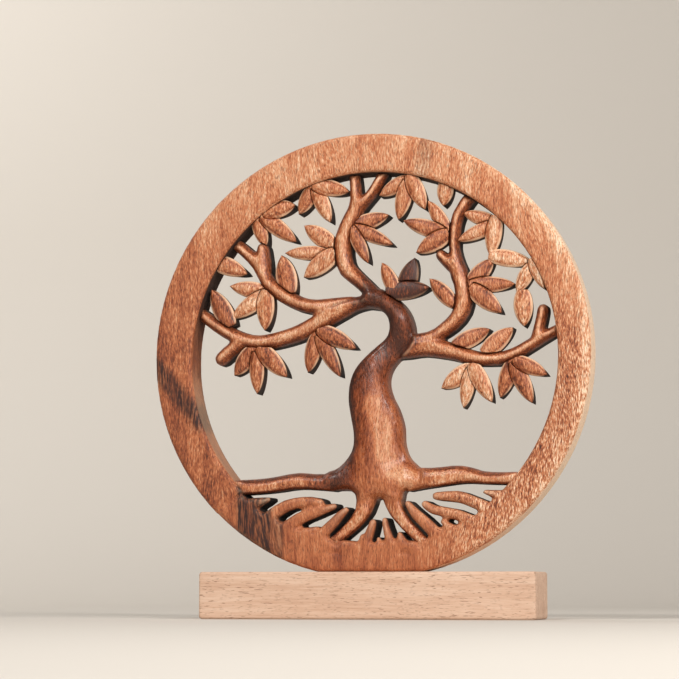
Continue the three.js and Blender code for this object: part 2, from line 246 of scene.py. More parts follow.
class Shader:
    """A material being built: each method adds one node and returns its output."""

    def __init__(self, name):
        self.material = bpy.data.materials.new(name)
        self.material.use_nodes = True
        self.tree = self.material.node_tree
        self.surface = self.tree.nodes["Principled BSDF"]

    def add(self, kind, inputs=None, output=0, **settings):
        node = self.tree.nodes.new(kind)
        for key, value in settings.items():
            setattr(node, key, value)
        for key, value in (inputs or {}).items():
            self.feed(node.inputs[key], value)
        return node.outputs[output]

    def feed(self, socket, value):
        if isinstance(value, bpy.types.NodeSocket):
            self.tree.links.new(value, socket)
        else:
            socket.default_value = value

    def position(self, *stretch):
        """The point on the object in millimetres, times a stretch for each axis."""
        place = self.add("ShaderNodeTexCoord", output=3)
        scale = [1000 * s for s in (stretch or (1, 1, 1))]
        return self.add("ShaderNodeVectorMath", {0: place, 1: scale}, operation="MULTIPLY")

    def stretched(self, vector, *stretch):
        return self.add("ShaderNodeVectorMath", {0: vector, 1: stretch}, operation="MULTIPLY")

    def moved(self, vector, by):
        return self.add("ShaderNodeVectorMath", {0: vector, 1: by}, operation="ADD")

    def wandering(self, stretch, reach):
        """The point on the object in millimetres, moved about by a slow noise times a reach."""
        drift = self.noise(self.position(*stretch), detail=1, output=1)
        drift = self.moved(drift, (-0.5, -0.5, -0.5))
        return self.moved(self.position(), self.stretched(drift, *reach))

    def noise(self, vector, detail=2, roughness=0.5, output=0):
        inputs = {"Vector": vector, "Scale": 1.0, "Detail": detail, "Roughness": roughness}
        return self.add("ShaderNodeTexNoise", inputs, output)

    def math(self, operation, a, b=0.0, clamp=False):
        return self.add("ShaderNodeMath", {0: a, 1: b}, operation=operation, use_clamp=clamp)

    def ranged(self, value, low, high, to_low=0.0, to_high=1.0):
        """The value eased from one range into another, and held at its ends."""
        inputs = {"Value": value, "From Min": low, "From Max": high, "To Min": to_low, "To Max": to_high}
        return self.add("ShaderNodeMapRange", inputs, interpolation_type="SMOOTHSTEP")

    def attribute(self, name):
        return self.add("ShaderNodeAttribute", output=2, attribute_name=name)

    def blend(self, share, a, b):
        return self.add("ShaderNodeMix", {0: share, 6: a, 7: b}, 2, data_type="RGBA")

    def ramp(self, value, stops):
        node = self.tree.nodes.new("ShaderNodeValToRGB")
        self.feed(node.inputs[0], value)
        elements = node.color_ramp.elements
        while len(elements) < len(stops):
            elements.new(0.5)
        for element, (place, colour) in zip(elements, stops):
            element.position = place
            element.color = colour
        return node.outputs[0]

    def swing(self, noise, weight):
        """How far a noise is from its middle, times a weight."""
        return self.math("MULTIPLY", self.math("SUBTRACT", noise, 0.5), weight)

    def bump(self, height, distance_mm, strength=1.0, under=None):
        """A relief in the surface, on top of another one where one is given."""
        inputs = {"Height": height, "Distance": distance_mm * MM, "Strength": strength}
        if under is not None:
            inputs["Normal"] = under
        return self.add("ShaderNodeBump", inputs)

    def finish(self, colour, roughness, normal):
        """Joins the last nodes to the surface."""
        self.feed(self.surface.inputs["Base Color"], colour)
        self.feed(self.surface.inputs["Roughness"], roughness)
        self.feed(self.surface.inputs["Normal"], normal)
        return self.material


def carved_wood():
    """Oiled carving wood: upright grain through the whole slab, flecks, dark cuts that are stained and
    painted with shade, paler edges of wear and painted highlight.
    """
    shader = Shader("carved_wood")
    place = shader.wandering((0.022, 0.022, 0.009), (30, 6, 0))
    bands = shader.noise(shader.stretched(place, 0.13, 0.13, 0.011), detail=3, roughness=0.55)
    fibres = shader.noise(shader.stretched(place, 0.85, 0.85, 0.09), detail=2, roughness=0.6)
    flecks = shader.noise(shader.stretched(place, 1.35, 1.35, 0.3), detail=2, roughness=0.65)
    patches = shader.noise(shader.stretched(place, 0.09, 0.09, 0.045), detail=2)
    pores = shader.noise(shader.stretched(place, 1.9, 1.9, 0.33), detail=1)
    pores = shader.ranged(pores, 0.57, 0.67)
    polish = shader.attribute("polish")
    stain_and_shade = shader.attribute("stain_and_shade")

    value = shader.attribute("tone")
    fleck = shader.attribute("fleck")
    for noise, weight in ((flecks, fleck), (bands, 0.6), (fibres, 0.6), (patches, 0.35)):
        value = shader.math("ADD", value, shader.swing(noise, weight))
    value = shader.math("MAXIMUM", shader.math("MINIMUM", value, 1.0), 0.0)

    colour = shader.ramp(value, WOOD_STOPS)
    darkest = WOOD_STOPS[0][1]
    colour = shader.blend(shader.math("MULTIPLY", pores, 0.5), colour, darkest)
    streaks = shader.ranged(fibres, 0.4, 0.6, 1.0, 0.5)
    dark_share = shader.math("MULTIPLY", shader.attribute("heart"), streaks, clamp=True)
    colour = shader.blend(dark_share, colour, HEART_COLOUR)
    # pales the edges: wear, with painted highlight on top
    colour = shader.blend(shader.attribute("wear_and_highlight"), colour, WEAR_AND_HIGHLIGHT_COLOUR)
    # darkens the cuts: a real dark staining, with painted shade on top
    colour = shader.blend(stain_and_shade, colour, CUT_STAIN_AND_SHADE_COLOUR)

    roughness = shader.ranged(flecks, 0.35, 0.7, 0.53, 0.72)
    roughness = shader.math("SUBTRACT", roughness, shader.math("MULTIPLY", polish, 0.29))
    roughness = shader.math("ADD", roughness, shader.math("MULTIPLY", stain_and_shade, 0.4))
    shader.surface.inputs["Specular IOR Level"].default_value = 0.5
    tooling = shader.noise(shader.stretched(place, 0.3, 0.3, 0.2), detail=1)
    normal = shader.bump(tooling, 0.5, 0.5)
    relief = shader.math("MULTIPLY", flecks, shader.ranged(polish, 0.4, 1.0, 1.0, 0.35))
    normal = shader.bump(relief, 0.3, 0.6, normal)
    normal = shader.bump(shader.math("SUBTRACT", 1.0, pores), 0.15, 0.7, normal)
    return shader.finish(colour, roughness, normal)


def plinth_wood():
    """Pale planed wood with fine level grain."""
    shader = Shader("plinth_wood")
    place = shader.wandering((0.008, 0.03, 0.03), (0, 5, 5))
    bands = shader.noise(shader.stretched(place, 0.012, 0.2, 0.2), detail=3)
    fibres = shader.noise(shader.stretched(place, 0.07, 1.3, 1.3), detail=2, roughness=0.6)
    pores = shader.noise(shader.stretched(place, 0.22, 2.1, 2.1), detail=1)
    pores = shader.ranged(pores, 0.62, 0.7)
    grain = [shader.math("MULTIPLY", bands, 0.55), shader.math("MULTIPLY", fibres, 0.45)]
    colour = shader.ramp(shader.math("ADD", *grain), PLINTH_STOPS)
    colour = shader.blend(shader.math("MULTIPLY", pores, 0.7), colour, PLINTH_PORE_COLOUR)
    chips = shader.noise(shader.position(0.45, 0.9, 0.9), detail=2)
    chips = shader.ranged(chips, 0.42, 0.58)
    chipped = shader.math("MULTIPLY", shader.attribute("wear_and_highlight"), chips)
    colour = shader.blend(chipped, colour, PLINTH_CHIP_COLOUR)
    roughness = shader.ranged(fibres, 0.3, 0.7, 0.55, 0.72)
    normal = shader.bump(fibres, 0.12, 0.6)
    normal = shader.bump(shader.math("SUBTRACT", 1.0, pores), 0.12, 0.5, normal)
    return shader.finish(colour, roughness, normal)


def dowel_wood():
    """Pale upright-grained rod."""
    shader = Shader("dowel_wood")
    fibres = shader.noise(shader.position(1.8, 1.8, 0.12), detail=2)
    flecks = shader.noise(shader.position(3.5, 3.5, 0.6), detail=1)
    flecks = shader.ranged(flecks, 0.6, 0.7)
    colour = shader.ramp(fibres, DOWEL_STOPS)
    colour = shader.blend(shader.math("MULTIPLY", flecks, 0.5), colour, DOWEL_FLECK_COLOUR)
    roughness = shader.ranged(fibres, 0.3, 0.7, 0.6, 0.8)
    return shader.finish(colour, roughness, shader.bump(fibres, 0.1, 0.5))


# ---------------------------------------------------------------- tone of the wood, with painted light and shade, place by place

def in_disc(points):
    """x and z in millimetres from the disc's centre."""
    return (points[:, 0] - DISC_CENTRE.x) / MM, (points[:, 2] - DISC_CENTRE.z) / MM


STREAK_CORE = 0.35  # the share of a streak's width that is at full strength


def band(x, z, start, end, width):
    """1 on a straight streak from start to end, fading to 0 over its width: a streak of heartwood, or
    the trunk's painted highlight.
    """
    (x0, z0), (x1, z1) = start, end
    dx, dz = x1 - x0, z1 - z0
    along = np.clip(((x - x0) * dx + (z - z0) * dz) / (dx * dx + dz * dz), 0, 1)
    away = np.hypot(x - x0 - along * dx, z - z0 - along * dz)
    return 1 - smoothstep(width * STREAK_CORE, width, away)


# The dark streaks: start and end in millimetres from the disc's centre, width, strength.
HEARTWOOD = [
    ((-154, -4), (-119, -45), 9, 1.0),
    ((-89, -90), (-88, -148), 6, 1.15),
    ((-80, -94), (-79, -148), 15, 0.95),
    ((-73, -100), (-72, -148), 6, 1.15),
    ((-64, -114), (-64, -150), 6, 0.8),
    ((38, 126), (42, 150), 8, 0.35),
]


def heartwood(x, z):
    """How dark the streaks of heartwood are at each point."""
    dark = np.zeros(len(x))
    for start, end, width, strength in HEARTWOOD:
        dark = np.maximum(dark, strength * band(x, z, start, end, width))
    return dark


def rim_tone(x, z):
    """Paler at the top and the upper right, redder and darker on the left and below. The paler upper
    right and the pale right lip are painted light, and the darker left is painted shade.
    """
    top = smoothstep(50, 140, z)
    # painted light on the upper right and the right lip, painted shade on the left
    upper_right = smoothstep(60, 140, x) * smoothstep(0, 60, z)
    left = smoothstep(-40, -130, x) * smoothstep(110, 40, z)
    highlit_right_lip = smoothstep(139, 151, np.hypot(x, z)) * smoothstep(50, 120, x)
    ground = smoothstep(-60, -100, z) * smoothstep(60, 20, x)
    paler = 0.14 * top + 0.05 * upper_right + 0.2 * highlit_right_lip
    return 0.49 + paler - 0.1 * left - 0.07 * ground


def rim_flecks(x, z):
    """How strongly the wood is flecked: most on the lower right, least in the middle of the ground."""
    lower_right = smoothstep(30, 90, x) * smoothstep(55, -20, z)
    mid_ground = smoothstep(-95, -110, z) * smoothstep(70, 30, x)
    return 1.15 + 1.35 * lower_right - 0.75 * mid_ground


def wall_share(normals):
    """1 on sawn walls, and 0 on the front and back."""
    return smoothstep(0.55, 0.95, 1 - np.abs(normals[:, 1]))


# ---------------------------------------------------------------- rim, ground and tree

def place_piece(piece, body, nodes, material):
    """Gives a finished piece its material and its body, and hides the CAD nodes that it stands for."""
    piece.data.materials.clear()
    piece.data.materials.append(material)
    for polygon in piece.data.polygons:
        polygon.use_smooth = True
    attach(piece, body)
    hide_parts(*nodes)


# The eased edges of the ground's cuts: how far they fall, and over what width. All of these are in
# millimetres, and z is up from the disc's centre.
GROUND_FALL, GROUND_FALL_WIDTH = 2.2, 4.5
EASING_STARTS, EASING_FULL = -140, -132  # z below which nothing is eased, and above which all is
CUTS_START = -135  # z above which the ground's walls are cuts
OUTER_WALL = 143  # walls further than this from the centre are the disc's own edge


def carved_rim(material):
    """The rim and the ground: the flat border that the tree was cut free inside."""
    nodes = ["rim", "ground"]
    piece = joined_copy("carved_rim", nodes, RIM_GROWTH)
    resurface(piece, RIM_VOXEL, 2)
    points, normals = points_and_normals(piece.data)
    on_ground = distance_to_nodes(points, ["ground"]) < distance_to_nodes(points, ["rim"])
    edge = distance_to_cut_edge(points, normals)
    x, z = in_disc(points)
    rounding = GROUND_FALL * MM * quarter_round(edge / (GROUND_FALL_WIDTH * MM))
    rounding = rounding * on_ground * smoothstep(EASING_STARTS, EASING_FULL, z)
    points[:, 1] += rounding * smoothstep(5 * MM, FRONT, points[:, 1])
    set_points(piece.data, points)
    baked_modifier(piece, "SMOOTH", factor=0.5, iterations=1)

    points, normals = points_and_normals(piece.data)
    wall = wall_share(normals)
    outside = np.hypot(x, z) > OUTER_WALL
    # inner walls: dark staining, with painted shade growing towards the top
    inner_wall_stain_and_shade = 0.2 + 0.72 * smoothstep(-5, 45, z)
    # the ground's cut walls: staining and painted shade, nearly black
    cut_stain_and_shade = np.where(on_ground & (z > CUTS_START), 0.96, inner_wall_stain_and_shade)
    proud = convexity(piece.data, points, normals)
    # painted light on the disc's outer wall, growing towards the right
    painted_outer_wall_light = 0.5 * wall * outside * smoothstep(-60, 60, x)
    set_attribute(piece.data, "stain_and_shade", wall * np.where(outside, 0.0, cut_stain_and_shade))
    set_attribute(piece.data, "tone", rim_tone(x, z) + painted_outer_wall_light)
    set_attribute(piece.data, "fleck", rim_flecks(x, z) * (1 - 0.6 * wall))
    set_attribute(piece.data, "heart", heartwood(x, z))
    # paler proud edges: wear, with painted highlight growing towards the right
    worn_and_highlit_edges = (0.3 + 0.35 * smoothstep(40, 120, x)) * smoothstep(0.05, 0.22, proud) * (1 - wall)
    # painted light on the inner wall at the lower left
    painted_inner_wall_light = 0.3 * wall * ~outside * ~on_ground * smoothstep(0, -30, z) * smoothstep(-60, -90, x)
    set_attribute(piece.data, "wear_and_highlight", worn_and_highlit_edges + painted_inner_wall_light)
    set_attribute(piece.data, "polish", np.zeros(len(points)))
    place_piece(piece, "panel", nodes, material)


# Where one limb tucks in behind another, and how deep the crease between them is, in millimetres.
CREASES = [
    ("trunk", "bough_left_low", 0.9),
    ("trunk", "bough_left_high", 0.9),
    ("bough_centre", "bough_left_high", 0.9),
    ("bough_left_low", "bough_left_high", 1.3),
    ("trunk", "bough_right_low", 0.9),
    ("bough_right_low", "bough_right_high", 0.4),
]
CREASE_REACH = 2.6 * MM

# The painted highlight down the trunk, x and z in millimetres from the disc's centre, and its width.
TRUNK_HIGHLIGHT_LINE = [(2, -34), (9, -52), (11, -68), (17, -80), (27, -86)]
TRUNK_HIGHLIGHT_WIDTH = 9

# The trunk's front has a leaning crest. It falls away to the left in a curve and to the right in a
# curve that turns into an even slope, each only so far. In millimetres from the disc's centre.
CREST_X, CREST_LEAN = -9, -0.1
CREST_LEFT, CREST_RIGHT, CREST_RIGHT_CURVE = 12, 24, 14
LEFT_CURVE, RIGHT_CURVE, RIGHT_SLOPE = 0.02, 0.018, 0.42
TRUNK_LEAN = 0.12  # how far the trunk's lit side moves right for each unit upwards

# The round of the limbs, in millimetres: how far their edges fall, and over what width.
LIMB_FALL, LIMB_FALL_WIDTH = 7, 15
SUNK_BY_RIM = 1.6 * MM  # how deep the limbs dip where they run under the rim
PROUD_OF_GROUND = 0.7 * MM  # how far the roots rise where they run into the ground


def crease_share(points, node_a, node_b):
    """1 where two regions meet, fading to 0 a little way off."""
    apart = sum(distance_to_nodes(points, [node], CREASE_REACH) for node in (node_a, node_b))
    return smoothstep(CREASE_REACH, 0.5 * MM, apart)


def trunk_fall(x, z):
    """How far the trunk's front falls away on either side of its crest, in millimetres."""
    across = x - CREST_X - CREST_LEAN * z
    right = np.clip(across, 0, CREST_RIGHT)
    left = np.clip(-across, 0, CREST_LEFT)
    curved = np.minimum(right, CREST_RIGHT_CURVE)
    fall = RIGHT_CURVE * curved**2 + RIGHT_SLOPE * (right - curved) + LEFT_CURVE * left**2
    return fall * smoothstep(-94, -72, z) * smoothstep(30, 0, z)


def painted_trunk_highlight(x, z):
    """1 along the trunk's painted highlight, fading to 0 beside it."""
    steps = zip(TRUNK_HIGHLIGHT_LINE, TRUNK_HIGHLIGHT_LINE[1:])
    shares = [band(x, z, start, end, TRUNK_HIGHLIGHT_WIDTH) for start, end in steps]
    return np.array(shares).max(axis=0)


def carved_tree(material):
    """Trunk, roots and boughs: one rounded, burnished skin, with painted shade on its walls, creases and
    the trunk's left flank, and painted highlights on its fronts.
    """
    nodes = [n for n in PANEL_NODES if n.startswith(("trunk", "root", "bough", "stub", "twig"))]
    piece = joined_copy("carved_tree", nodes, TREE_GROWTH)
    resurface(piece, TREE_VOXEL, 3)
    points, normals = points_and_normals(piece.data)
    x, z = in_disc(points)
    to_border = distance_to_nodes(points, ["rim", "ground"])
    edge = distance_to_cut_edge(points, normals)
    creases = [depth * MM * crease_share(points, a, b) for a, b, depth in CREASES]
    creases = np.array(creases).max(axis=0)
    low = smoothstep(-60, -75, z)
    flush = smoothstep(14 * MM, 1 * MM, to_border) * low
    sunk = smoothstep(7 * MM, 0.5 * MM, to_border) * (1 - low)
    to_trunk = distance_to_nodes(points, ["trunk"])
    on_trunk = smoothstep(5 * MM, 0, to_trunk)
    rounding = LIMB_FALL * MM * quarter_round(edge / (LIMB_FALL_WIDTH * MM)) * (1 - 0.85 * flush)
    lean = trunk_fall(x, z) * MM * on_trunk
    from_back = np.clip((BACK - points[:, 1]) / (BACK - FRONT), 0, 1)
    points[:, 1] += np.hypot(rounding, lean) * from_back
    front = smoothstep(8 * MM, FRONT, points[:, 1])
    points[:, 1] += front * (SUNK_BY_RIM * sunk - PROUD_OF_GROUND * flush + creases)
    set_points(piece.data, points)
    baked_modifier(piece, "SMOOTH", factor=0.5, iterations=2)

    points, normals = points_and_normals(piece.data)
    wall = smoothstep(0.78, 0.98, 1 - np.abs(normals[:, 1]))
    depth = smoothstep(FRONT + 4 * MM, FRONT + 11 * MM, points[:, 1])
    # the trunk's right flank gets less painted shade, its left flank more
    lit_right_flank = on_trunk * smoothstep(0.1, 0.6, normals[:, 0])
    shaded_left_flank = on_trunk * smoothstep(0.25, 0.85, -normals[:, 0])
    # painted shade where the limbs meet the rim
    seam_shade = smoothstep(1.5 * MM, 0.3 * MM, to_border) * (1 - low)
    upturned = smoothstep(0.1, 0.5, normals[:, 2]) * smoothstep(0, -25, z)
    # walls darkened by staining, with painted shade deeper in, lifted where light falls on the right
    # flank and on upturned faces
    stain_and_shade = wall * (0.5 + 0.48 * depth) * (1 - 0.75 * np.maximum(lit_right_flank, upturned))
    # painted shade in the creases between limbs
    crease = 0.75 * creases / creases.max() * smoothstep(0.5, 0.8, -normals[:, 1])
    for other in (0.85 * seam_shade, 0.45 * shaded_left_flank, crease):
        stain_and_shade = np.maximum(stain_and_shade, other)
    # painted highlight on the limbs' forward-facing fronts
    highlit_ridge = smoothstep(0.62, 0.96, -normals[:, 1])
    proud = convexity(piece.data, points, normals)
    left_roots = smoothstep(-70, -80, z) * smoothstep(10, -30, x)
    lit_side = smoothstep(-5, 12, x - TRUNK_LEAN * z) * smoothstep(10, -25, z)
    foot = smoothstep(-60, -88, z)
    limb_tone = 0.2 + 0.44 * highlit_ridge - 0.12 * left_roots
    # the trunk: darker on its left as painted shade, paler on its lit side, with a painted highlight
    # down it
    trunk_tone = 0.04 + 0.3 * lit_side + 0.08 * foot + 0.24 * painted_trunk_highlight(x, z)
    near_trunk = smoothstep(16 * MM, 0, to_trunk)
    set_attribute(piece.data, "stain_and_shade", stain_and_shade)
    set_attribute(piece.data, "tone", limb_tone * (1 - near_trunk) + trunk_tone * near_trunk)
    set_attribute(piece.data, "fleck", 1.3 - 0.7 * on_trunk)
    set_attribute(piece.data, "heart", np.zeros(len(points)))
    # paler proud parts: wear, with painted highlight
    set_attribute(piece.data, "wear_and_highlight", 0.25 * smoothstep(0.05, 0.2, proud) * (1 - wall))
    set_attribute(piece.data, "polish", np.maximum(on_trunk, 0.7) * (1 - 0.7 * shaded_left_flank))
    place_piece(piece, "panel", nodes, material)


# ---------------------------------------------------------------- the leaves' measures

# The leaves of each spray, in millimetres from the disc's centre, as the CAD has them.
LEAVES = {  # base x and z, tip x and z, width
    "leaf_rim_left": [(-112, 68, -88.5, 58.5, 12)],
    "spray_upper_left_outer": [
        (-81, 97, -75, 77.5, 10), (-75, 97, -53, 80, 11), (-74, 101.5, -54, 105.5, 12)],
    "spray_upper_left_top": [
        (-40, 117, -50.5, 99.5, 11), (-38, 115, -28.5, 93, 10.5), (-38, 118.5, -15.5, 113.5, 11)],
    "spray_upper_left_inner": [
        (-27, 77, -46.5, 90.5, 12), (-33, 71, -60, 72, 9.5), (-26, 70, -46.5, 55, 13)],
    "spray_centre": [
        (-11, 89, 12.5, 96, 11), (-9, 87, 15.5, 75.5, 9.5), (-12, 86, -1.5, 63.5, 9)],
    "spray_top_right": [
        (26, 120, 7, 110, 10), (26.5, 117, 20, 93, 11), (29, 121, 38.5, 99.5, 11)],
    "leaf_rim_top_right": [(54, 118, 51.5, 101.5, 11)],
    "spray_upper_right_inner": [
        (54, 84, 41, 104.5, 9.5), (51, 82, 24, 91.5, 11), (53.5, 80.5, 33, 69.5, 12)],
    "spray_upper_right_outer": [
        (86, 88.5, 65.5, 95.5, 9.5), (86, 86, 61.5, 76.5, 9.5), (88, 90, 84, 65.5, 11)],
    "spray_right_outer": [
        (85.5, 65, 112, 60, 11), (111, 56, 102, 40, 9.5), (113, 60, 120.5, 42, 8)],
    "spray_right_inner": [
        (70.5, 47, 85.5, 63, 11.5), (72, 45.5, 100, 45.5, 10.5), (72, 42.5, 91, 26.5, 12)],
    "leaf_right": [(106, 38.5, 106.5, 17, 12.5)],
    "leaf_bough_right_inner": [(60.5, 5, 82.5, 15, 11.5)],
    "leaf_bough_right_outer": [(80.5, 0, 98.5, 15.5, 12)],
    "spray_low_right_inner": [
        (70, -11.5, 50, -24, 12), (69.5, -14, 64.8, -37.5, 9.5), (72, -10.5, 84, -34, 11)],
    "spray_low_right_outer": [
        (98.5, -8, 90, -31, 11), (100, -10, 111.5, -35, 11), (102, -7, 121.5, -16.5, 10)],
    "spray_left": [
        (-74, 45, -100, 50, 11), (-75, 43, -98.5, 28, 11.5), (-74, 43.5, -75, 19, 12)],
    "leaf_left_upright": [(-57.5, 46, -63, 70, 14)],
    "leaf_rim_left_low": [(-100.5, 24, -113.5, 47.5, 13)],
    "spray_low_left_outer": [
        (-83, 5, -96.5, -12, 12), (-80.5, 1, -80.5, -25, 10), (-77, 5, -59.5, -14, 12)],
    "spray_low_left_inner": [
        (-38, 13, -44, -11, 11), (-35, 12, -21.5, -14.5, 10.5), (-34, 17, -10.5, 4.5, 11.5)],
    "leaf_over_arch": [(18, 43, 8.5, 62.5, 10)],
    "spray_over_arch": [(24, 42, 31, 65, 13), (14, 42, 41, 45, 12.5)],
    "leaf_bough_right_upper": [(57.5, 34, 42, 50.5, 10.5)],
}

# A leaf's outline is a curve. It starts this far behind the base and ends this far past the tip, in
# millimetres, and its handles are fractions of the leaf's length and width.
LEAF_TUCK, LEAF_REACH = 2.5, 0.8
LEAF_BASE, LEAF_SWELL_AT, LEAF_SWELL, LEAF_TAPER_AT, LEAF_TAPER = 0.32, 0.22, 0.7, 0.76, 0.58

# How far behind the rim's face a leaf begins and ends, in millimetres.
LEAF_FRONT, LEAF_BACK = 2.6, 20.5

# Its front, in millimetres: the width and fall of its eased edge, the height of its dome, and how
# much further its tip falls.
LEAF_EDGE, LEAF_EDGE_FALL, LEAF_DOME, LEAF_TIP_FALL = 1.3, 1.0, 2.0, 2.4

# Its undercut: the width left at the bottom of its walls, the share of that on its flat back, and
# the depth in millimetres of the eased edge between them.
LEAF_BACK_SHARE, LEAF_BACK_TUCK, LEAF_BACK_EASE = 0.72, 0.92, 0.8

# How many points a leaf has along it, across its front, down each wall and across its back.
LEAF_STATIONS, LEAF_ACROSS, LEAF_DOWN, LEAF_BEHIND = 22, 16, 5, 6
LEAF_WELD = 0.03 * MM  # closes its pointed tip

# In a spray, how far each leaf's front and back stand in front of those of the leaf before it.
LEAF_LAP, LEAF_BACK_STEP = 0.35, 0.23

# The groove round a leaf: its width, and where it starts and stops behind the rim's face.
LEAF_GROOVE, LEAF_GROOVE_TOP, LEAF_GROOVE_FLOOR = 0.4, -1.0, 9.0
TRIMMING_NODES = [n for n in PANEL_NODES if n.startswith(("rim", "trunk", "bough", "twig", "stub"))]

# How pale the leaves are: some sprays have a tone of their own, and each leaf differs by a little.
LEAF_TONE = 0.44
LEAF_TONE_SPREAD = 0.07
LEAF_SHARP_ANGLE = math.radians(40)
DARK_SPRAY = "spray_over_arch"
LEAF_TONES = {
    "leaf_rim_left": 0.5,
    "spray_upper_left_outer": 0.5,
    "spray_upper_left_top": 0.5,
    "spray_upper_left_inner": 0.6,
    "spray_centre": 0.4,
    "spray_top_right": 0.56,
    "leaf_rim_top_right": 0.62,
    "spray_upper_right_outer": 0.64,
    "spray_right_outer": 0.72,
    "leaf_right": 0.56,
    "spray_left": 0.58,
    "leaf_left_upright": 0.34,
    "leaf_rim_left_low": 0.34,
    "spray_low_left_outer": 0.4,
    "spray_low_left_inner": 0.36,
    "spray_low_right_inner": 0.66,
    "spray_over_arch": 0.06,
}


# ---------------------------------------------------------------- leaves

def bezier(points, t):
    """A point on a cubic curve."""
    a, b, c, d = points
    s = 1 - t
    return s**3 * a + 3 * s * s * t * b + 3 * s * t * t * c + t**3 * d


def leaf_section(half, length_share, front, back):
    """The points round a leaf at one station: across its front, down, across its back and up."""
    tip_fall = LEAF_TIP_FALL * length_share**3
    ring = []
    for i in range(LEAF_ACROSS + 1):
        v = math.sin(math.pi / 2 * (2 * i / LEAF_ACROSS - 1))
        margin = half * (1 - abs(v))
        edge = max(0.0, 1 - margin / LEAF_EDGE)
        fall = LEAF_EDGE_FALL * (1 - math.sqrt(1 - edge * edge)) + LEAF_DOME * v * v + tip_fall
        ring.append((half * v, front + fall))
    rim = ring[-1][1]
    sides = []
    for i in range(1, LEAF_DOWN + 1):
        depth = rim + (back - LEAF_BACK_EASE - rim) * i / LEAF_DOWN
        sides.append((1 - (1 - LEAF_BACK_SHARE) * i / LEAF_DOWN, depth))
    flat = LEAF_BACK_SHARE * LEAF_BACK_TUCK
    ring += [(half * share, depth) for share, depth in sides]
    ring += [(half * (flat * (1 - 2 * i / LEAF_BEHIND)), back) for i in range(LEAF_BEHIND + 1)]
    ring += [(-half * share, depth) for share, depth in reversed(sides)]
    return ring


def leaf_outline(leaf):
    """The handles of a leaf's outline: places along its length, and half widths there."""
    base_x, base_z, tip_x, tip_z, width = leaf
    length = math.hypot(tip_x - base_x, tip_z - base_z) + LEAF_REACH
    reach = (-LEAF_TUCK, LEAF_SWELL_AT * length, LEAF_TAPER_AT * length, length)
    spread = (LEAF_BASE * width, LEAF_SWELL * width, LEAF_TAPER * width, 0.0)
    return reach, spread


def plain_section(half, front, back):
    """A leaf's section as a plain box, for cutting."""
    return [(-half, front), (half, front), (half, back), (-half, back)]


def leaf_bmesh(leaf, order, cutting=False):
    """One closed leaf, as stations along its length, or a wider one that cuts a groove round it."""
    front = LEAF_FRONT - LEAF_LAP * order
    back = LEAF_BACK - LEAF_BACK_STEP * order
    base_x, base_z, tip_x, tip_z, _ = leaf
    along = Vector((tip_x - base_x, tip_z - base_z)).normalized()
    across = Vector((-along.y, along.x))
    reach, spread = leaf_outline(leaf)
    shape = bmesh.new()
    rings = []
    for i in range(LEAF_STATIONS + 1):
        t = i / LEAF_STATIONS
        place = bezier(reach, t)
        half = max(bezier(spread, t), 0.0)
        if cutting:
            place += LEAF_GROOVE * (2 * t - 1)
            section = plain_section(half + LEAF_GROOVE, LEAF_GROOVE_TOP, LEAF_GROOVE_FLOOR)
        else:
            section = leaf_section(half, max(place, 0) / reach[3], front, back)
        ring = []
        for side, depth in section:
            x = base_x + along.x * place + across.x * side
            z = base_z + along.y * place + across.y * side
            spot = Vector((x, 0, z)) * MM + DISC_CENTRE
            ring.append(shape.verts.new((spot.x, FRONT + depth * MM, spot.z)))
        rings.append(ring)
    count = len(rings[0])
    for here, there in zip(rings, rings[1:]):
        for j in range(count):
            k = (j + 1) % count
            shape.faces.new((here[j], here[k], there[k], there[j]))
    shape.faces.new(list(reversed(rings[0])))
    if cutting:
        shape.faces.new(rings[-1])
    bmesh.ops.remove_doubles(shape, verts=shape.verts, dist=LEAF_WELD)
    bmesh.ops.triangulate(shape, faces=shape.faces)
    bmesh.ops.recalc_face_normals(shape, faces=shape.faces)
    return shape


def combine(piece, operation, other):
    """Joins another object to a piece or cuts it away, and clears the other object up."""
    baked_modifier(piece, "BOOLEAN", operation=operation, solver="EXACT", object=other)
    spare = other.data
    bpy.data.objects.remove(other)
    bpy.data.meshes.remove(spare)


def front_of_node(node):
    """The front part of a CAD region, slightly grown, for trimming the leaves that run into it."""
    region = region_bmesh(node, LEAF_GROOVE * MM)
    geometry = region.verts[:] + region.edges[:] + region.faces[:]
    floor = (0, FRONT + LEAF_GROOVE_FLOOR * MM, 0)
    bmesh.ops.bisect_plane(region, geom=geometry, plane_co=floor, plane_no=(0, 1, 0), clear_outer=True)
    open_edges = [edge for edge in region.edges if edge.is_boundary]
    bmesh.ops.triangle_fill(region, edges=open_edges, use_beauty=True, normal=(0, 1, 0))
    bmesh.ops.recalc_face_normals(region, faces=region.faces)
    return new_object("trim", region)


def boxes_meet(node_a, node_b):
    """Whether the boxes round two regions are within a millimetre of each other."""
    (low_a, high_a), (low_b, high_b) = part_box(node_a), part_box(node_b)
    return all(low_a[i] < high_b[i] + MM and low_b[i] < high_a[i] + MM for i in range(3))


def leaves_in_one(node):
    """A spray: each leaf stands a little proud of the one before it, with a groove round it."""
    piece = None
    for i, leaf in enumerate(LEAVES[node]):
        solid = new_object("leaf", leaf_bmesh(leaf, i))
        if piece is None:
            piece = solid
            continue
        combine(piece, "DIFFERENCE", new_object("groove", leaf_bmesh(leaf, i, cutting=True)))
        combine(piece, "UNION", solid)
    piece.name = node + "_carved"
    for other in TRIMMING_NODES:
        if boxes_meet(node, other):
            combine(piece, "DIFFERENCE", front_of_node(other))
    return piece


